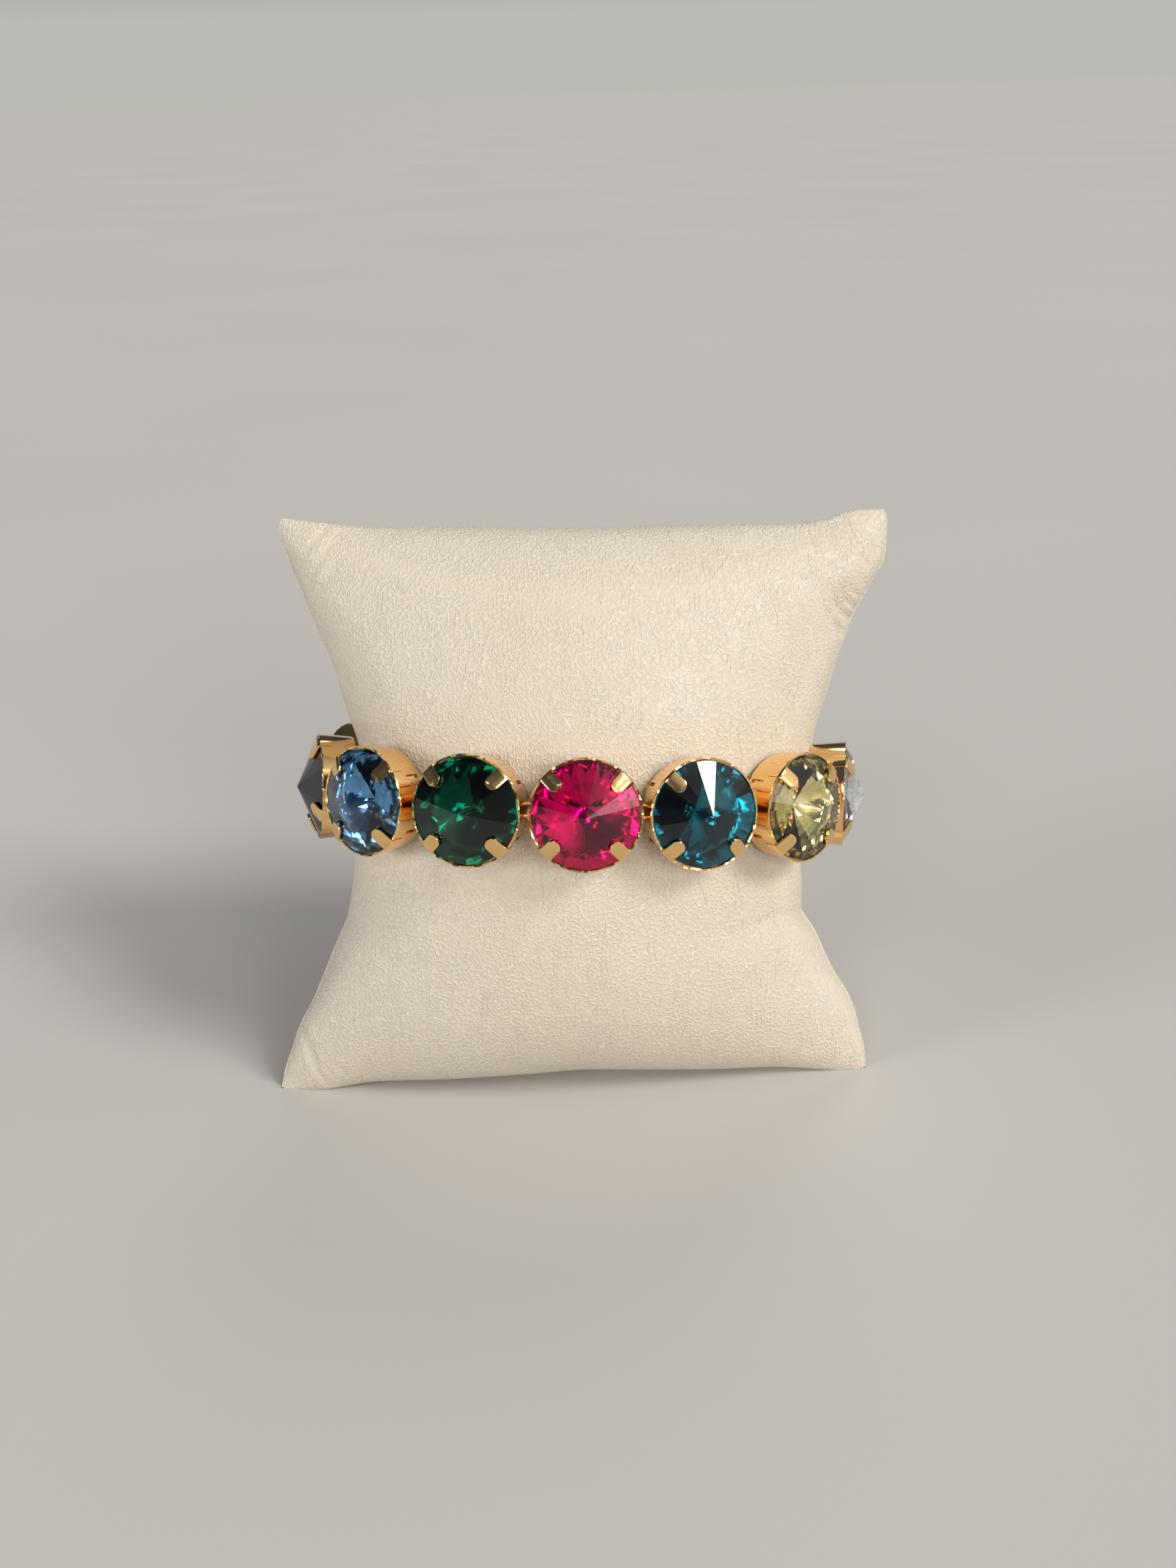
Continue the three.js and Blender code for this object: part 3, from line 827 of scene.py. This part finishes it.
# Fine creases and broad swells of the front, in the loop's frame: each crease has a depth, a width
# and the (across, height) points along it; each swell a middle, two half widths, a turn and a height.
CREASES = [
    (0.38, 0.50, [(29.6, 33.0), (30.9, 31.0), (32.1, 27.9), (33.4, 24.9), (35.1, 22.7)]),
    (0.29, 0.47, [(30.9, 33.4), (32.4, 30.6), (33.4, 27.6), (34.8, 25.4), (36.4, 24.6)]),
    (0.19, 0.42, [(28.7, 31.0), (30.4, 28.4), (31.9, 25.4), (33.6, 22.4)]),
    (0.24, 0.42, [(32.6, 32.6), (33.9, 29.4), (35.3, 27.0), (37.2, 26.2)]),
    (0.16, 0.40, [(34.1, 31.4), (35.4, 28.8), (37.2, 27.6)]),
    (0.22, 0.42, [(33.6, 37.4), (35.2, 35.4), (36.7, 33.4), (37.9, 32.0)]),
    (0.29, 0.45, [(34.8, 37.8), (36.4, 35.8), (38.0, 34.6), (39.4, 34.1)]),
    (0.16, 0.40, [(32.0, 37.2), (33.2, 34.8), (34.0, 32.6)]),
    (0.16, 0.40, [(36.6, 38.0), (37.8, 36.4), (39.2, 35.4)]),
    (0.21, 0.47, [(-39.6, -33.9), (-38.6, -35.6), (-37.6, -38.0), (-36.8, -40.2), (-35.4, -42.2)]),
    (0.13, 0.40, [(-38.0, -36.0), (-36.6, -38.4), (-34.9, -40.6), (-33.8, -42.0)]),
    (0.12, 0.38, [(-36.8, -36.4), (-35.0, -38.4), (-32.8, -40.4)]),
    (0.13, 0.42, [(-39.4, 30.6), (-38.0, 32.4), (-36.6, 34.4), (-35.6, 35.8)]),
    (0.12, 0.40, [(-38.0, 28.6), (-36.4, 30.8), (-34.8, 33.2), (-33.6, 35.2)]),
    (0.10, 0.38, [(-36.4, 27.2), (-34.8, 29.4), (-32.6, 32.6)]),
    (0.16, 0.63, [(31.2, -17.4), (29.4, -16.0), (26.6, -15.8), (23.6, -16.8)]),
    (0.10, 0.42, [(37.2, -33.0), (36.0, -35.4), (35.4, -38.6)]),
]
SWELLS = [
    (28.4, 26.6, 3.4, 5.2, -28, 0.45),
    (36.6, 31.8, 2.8, 4.2, -24, 0.55),
    (33.2, 27.6, 1.8, 5.4, 27, -0.55),
    (-37.8, 32.6, 3.0, 4.0, 30, 0.25),
    (-38.6, -39.4, 2.6, 3.6, -15, 0.30),
    (28.2, -10.4, 3.4, 4.6, 0, 0.35),
    (25.4, -21.0, 6.0, 3.4, 24, 0.30),
    (-24.6, -16.0, 5.0, 4.2, -20, 0.30),
    (9.0, 12.6, 8.0, 3.2, 4, 0.20),
    (-13.0, 12.2, 7.0, 3.0, -4, 0.20),
]
# Beside each crease the skin rises by this share of its depth, this many widths away.
CREASE_LIP = {"share": 0.3, "away": 1.9}
# The relief of the front comes in over this many millimetres from the side seams forward.
FRONT_FADE = 1.5
# The side seams: the sewn lip, its share one step beside it, the groove next to it up to this many
# steps away, and the share of the half height over which they fade out above and below.
SEAM = {"lip": 0.30, "beside": 0.55, "groove": 0.14, "groove_steps": 5, "fade": 0.04}
# The skin is blown up as cloth, at this many times its size, and moves by less than these caps.
CLOTH = {"scale": 12, "pressure": 0.5, "frames": 20, "front_cap": 0.45, "back_cap": 1.0}
# Where the cloth is held, in the loop's frame: this far up and down from the bracelet's plane, close to
# the table, at the folds above and below as shares of the half height, and along the side seams. Each
# hold goes from nothing to full over its fade.
HOLD = {
    "band": 13, "band_fade": 6, "table": 1.5, "fold": 0.93, "fold_fade": 0.05,
    "side": 28, "side_fade": 3, "seam_depth": 2, "seam_fade": 1.5,
}


def distance_to_path(across, height, path):
    """How far each (across, height) is from a path."""
    nearest = np.full(across.shape, 1e6)
    for (ax, az), (bx, bz) in zip(path[:-1], path[1:]):
        dx, dz = bx - ax, bz - az
        t = np.clip(((across - ax) * dx + (height - az) * dz) / (dx * dx + dz * dz), 0, 1)
        nearest = np.minimum(nearest, np.hypot(across - ax - t * dx, height - az - t * dz))
    return nearest


def skin_normals(skin):
    rise = np.gradient(skin, axis=0)
    around = np.roll(skin, -1, axis=1) - np.roll(skin, 1, axis=1)
    normals = np.cross(around, rise)
    return normals / np.maximum(np.linalg.norm(normals, axis=2, keepdims=True), 1e-9)


def relief(skin):
    """The skin with its creases and swells in front, and a sewn lip down each side."""
    across, depth, height = skin[..., 0], skin[..., 1], skin[..., 2]
    lift = np.zeros(across.shape)
    for crease_depth, width, path in CREASES:
        away = distance_to_path(across, height, path)
        lift -= crease_depth * np.exp(-((away / width) ** 2))
        beside = (away - CREASE_LIP["away"] * width) / width
        lift += CREASE_LIP["share"] * crease_depth * np.exp(-(beside**2))
    for x, z, half_x, half_z, turn, swell in SWELLS:
        angle = math.radians(turn)
        u = (across - x) * math.cos(angle) + (height - z) * math.sin(angle)
        v = (height - z) * math.cos(angle) - (across - x) * math.sin(angle)
        lift += swell * np.exp(-((u / half_x) ** 2) - (v / half_z) ** 2)
    lift *= np.clip(-depth / FRONT_FADE, 0, 1)
    steps = np.arange(PILLOW_AROUND)
    from_seam = np.minimum(steps % (PILLOW_AROUND // 2), -steps % (PILLOW_AROUND // 2))[None, :]
    levels = np.linspace(-1, 1, len(skin))[:, None]
    wander = 0.7 + 0.3 * np.sin(9 * levels + 1.3) * np.sin(23 * levels)
    seam = np.where(from_seam == 0, 1.0, np.where(from_seam == 1, SEAM["beside"], 0.0)) * SEAM["lip"]
    seam -= np.where((from_seam > 1) & (from_seam < SEAM["groove_steps"]), SEAM["groove"], 0.0)
    lift += seam * wander * np.clip((1 - np.abs(levels)) / SEAM["fade"], 0, 1)
    return skin + skin_normals(skin) * lift[..., None]


def held_share(places, same, level):
    """How firmly each place of the cloth is held, from 0 to 1."""
    lift = (places @ loop_axes + loop_origin)[:, 2]
    fold = np.zeros(len(places))
    np.maximum.at(fold, same, np.clip((np.abs(level) - HOLD["fold"]) / HOLD["fold_fade"], 0, 1))
    band = np.clip((HOLD["band"] - np.abs(places[:, 2])) / HOLD["band_fade"], 0, 1)
    table = np.clip(HOLD["table"] - lift, 0, 1)
    side = np.clip((np.abs(places[:, 0]) - HOLD["side"]) / HOLD["side_fade"], 0, 1)
    seam = np.clip((HOLD["seam_depth"] - np.abs(places[:, 1])) / HOLD["seam_fade"], 0, 1)
    return np.maximum.reduce([band, table, fold, side * seam])


def cloth_offsets(skin):
    """How far the skin's places move when it is blown up as cloth that the bracelet and the table hold."""
    coarse = skin[::2, ::2]
    rows, around = coarse.shape[:2]
    places, same = np.unique(np.round(coarse.reshape(-1, 3), 3), axis=0, return_inverse=True)
    same = same.reshape(-1)
    faces = [tuple(dict.fromkeys(int(same[index]) for index in face)) for face in ring_faces(rows, around)]
    size = CLOTH["scale"] * MM
    mesh = bpy.data.meshes.new("cloth")
    mesh.from_pydata([tuple(v) for v in places * size], [], [face for face in faces if len(face) > 2])
    cloth = bpy.data.objects.new("cloth", mesh)
    scene.collection.objects.link(cloth)
    level = np.broadcast_to(np.linspace(-1, 1, rows)[:, None], (rows, around)).reshape(-1)
    held = held_share(places, same, level)
    group = cloth.vertex_groups.new(name="held")
    for index in np.nonzero(held)[0]:
        group.add([int(index)], float(held[index]), "REPLACE")
    modifier = cloth.modifiers.new("cloth", "CLOTH")
    settings = modifier.settings
    settings.quality = 6
    settings.tension_stiffness = settings.compression_stiffness = 15
    settings.shear_stiffness = 5
    settings.bending_stiffness = 0.5
    settings.use_pressure = True
    settings.uniform_pressure_force = CLOTH["pressure"]
    settings.vertex_group_mass = "held"
    settings.effector_weights.gravity = 0
    modifier.collision_settings.use_collision = False
    for step in range(1, CLOTH["frames"] + 1):
        scene.frame_set(step)
    shown = cloth.evaluated_get(bpy.context.evaluated_depsgraph_get()).data
    moved_to = np.zeros(len(places) * 3)
    shown.vertices.foreach_get("co", moved_to)
    offsets = (moved_to.reshape(-1, 3) / size - places)[same].reshape(rows, around, 3)
    bpy.data.objects.remove(cloth)
    scene.frame_set(1)
    far = np.linalg.norm(offsets, axis=2, keepdims=True)
    cap = np.where(coarse[..., 1:2] > 0, CLOTH["back_cap"], CLOTH["front_cap"])
    offsets *= cap / (cap + far)
    fine = np.zeros(skin.shape)
    fine[::2, ::2] = offsets
    fine[1::2, ::2] = (offsets[:-1] + offsets[1:]) / 2
    fine[:, 1::2] = (fine[:, ::2] + np.roll(fine[:, ::2], -1, axis=1)) / 2
    return fine


def build_pillow():
    skin = pillow_skin()
    dressed = relief(skin + cloth_offsets(skin))
    stacks, around = dressed.shape[:2]
    part = (dressed.reshape(-1, 3), ring_faces(stacks, around))
    places, faces = moved(part, (loop_axes, loop_origin))
    places[:, 2] = np.maximum(places[:, 2], 0)
    pillow = piece("leatherette_pillow", places, faces, [LEATHERETTE], SHARP["pillow"])
    weld(pillow.data, 0.00002, thinnest=0.00001)
    finish_shading(pillow.data, SHARP["pillow"])
    take(pillow, "leatherette", "display_pillow")


build_pillow()

# ---- Camera, floor and light ----

IMAGE_HEIGHT = 2212
FOCAL_PIXELS = 2300
SENSOR = 36
# The camera's place in millimetres and its turns in radians, in the loop's frame.
CAMERA = {"place": (-3.62, -226.9, 30.94), "pitch": 0.132, "yaw": 0.019, "roll": 0.017}
# Far soft lights: name, azimuth from the front towards the right, elevation and width in degrees,
# power and colour.
SUNS = [
    ("window", 57, 40, 19, 1.8, (1.0, 0.975, 0.93)),
    ("front_right", 24, 20, 20, 0.8, (1.0, 0.975, 0.94)),
    ("front_left", -22, 34, 18, 0.5, (0.97, 0.98, 1.0)),
    ("left", -66, 12, 18, 1.15, (0.98, 0.985, 1.0)),
    ("side_window", 50, 17, 9, 0.045, (1.0, 0.99, 0.97)),
    ("back", 165, 45, 25, 0.6, (1.0, 0.99, 0.97)),
]
FLOOR_HALF_SIZE = 60000
FLOOR_LIGHT = (0.50, 0.488, 0.467)
BRIGHT_SIDE = (0.85, -0.35, 0.40)
# The room's colours, from the dark side to the bright one.
ROOM = [
    (0.0, (0.05, 0.055, 0.065)), (0.5, (0.075, 0.08, 0.09)), (0.78, (0.50, 0.50, 0.49)),
    (1.0, (0.85, 0.82, 0.77)),
]


def build_camera():
    """The camera stands in front and looks down a little."""
    pitch, yaw, roll = CAMERA["pitch"], CAMERA["yaw"], CAMERA["roll"]
    forward = np.array([math.sin(yaw) * math.cos(pitch), math.cos(yaw) * math.cos(pitch), -math.sin(pitch)])
    level = np.array([math.cos(yaw), -math.sin(yaw), 0])
    rise = np.cross(level, forward)
    right = math.cos(roll) * level + math.sin(roll) * rise
    top = -math.sin(roll) * level + math.cos(roll) * rise
    data = bpy.data.cameras.new("camera")
    data.sensor_fit = "VERTICAL"
    data.sensor_height = SENSOR
    data.lens = FOCAL_PIXELS / IMAGE_HEIGHT * SENSOR
    data.clip_start = 0.01
    camera = bpy.data.objects.new("camera", data)
    place = np.array(CAMERA["place"]) @ loop_axes + loop_origin
    camera.matrix_world = placement(np.array([right, top, -forward]) @ loop_axes, place)
    scene.collection.objects.link(camera)
    scene.camera = camera


def build_sun(name, azimuth, elevation, spread, power, colour):
    data = bpy.data.lights.new(name, "SUN")
    data.energy = power
    data.color = colour
    data.angle = math.radians(spread)
    light = bpy.data.objects.new(name, data)
    across, rise = math.radians(azimuth), math.radians(elevation)
    towards = Vector((
        math.sin(across) * math.cos(rise), -math.cos(across) * math.cos(rise), math.sin(rise)
    ))
    light.rotation_euler = towards.to_track_quat("Z", "Y").to_euler()
    scene.collection.objects.link(light)


def build_room():
    """A dim room with a soft bright side at the right, and a pale band where the floor ends."""
    world = bpy.data.worlds.new("studio")
    world.use_nodes = True
    tree = world.node_tree
    way = add(tree, "ShaderNodeTexCoord").outputs["Generated"]
    bright_side = Vector(BRIGHT_SIDE).normalized()
    facing = add(tree, "ShaderNodeVectorMath", {0: way, 1: bright_side}, operation="DOT_PRODUCT")
    room = ramp(tree, facing.outputs["Value"], ROOM)
    height = add(tree, "ShaderNodeSeparateXYZ", {"Vector": way}).outputs["Z"]
    band = ramp(tree, height, [(0.0, 1.0), (0.04, 1.0), (0.14, 0.0)])
    mixed = add(
        tree, "ShaderNodeMix", {"Factor": band, "A": room, "B": (*FLOOR_LIGHT, 1)}, data_type="RGBA"
    )
    background = tree.nodes["Background"]
    tree.links.new(mixed.outputs["Result"], background.inputs["Color"])
    background.inputs["Strength"].default_value = 1.0
    scene.world = world


def build_floor():
    """A plain pale floor, with a faint unevenness in its tone."""
    material, tree, shader = new_material("floor", Roughness=0.8, Specular_IOR_Level=0.15)
    soft = noise(tree, object_place(tree), 4, 2)
    dress(tree, shader, Base_Color=ramp(tree, soft, [(0.3, (0.53, 0.51, 0.485)), (0.7, (0.55, 0.53, 0.505))]))
    size = FLOOR_HALF_SIZE
    corners = np.array([(-size, -size, 0), (size, -size, 0), (size, size, 0), (-size, size, 0)], float)
    piece("floor", corners, [(0, 1, 2, 3)], [material])


build_camera()
build_floor()
build_room()
for light in SUNS:
    build_sun(*light)
scene.view_settings.view_transform = "Standard"
scene.view_settings.exposure = 0.0
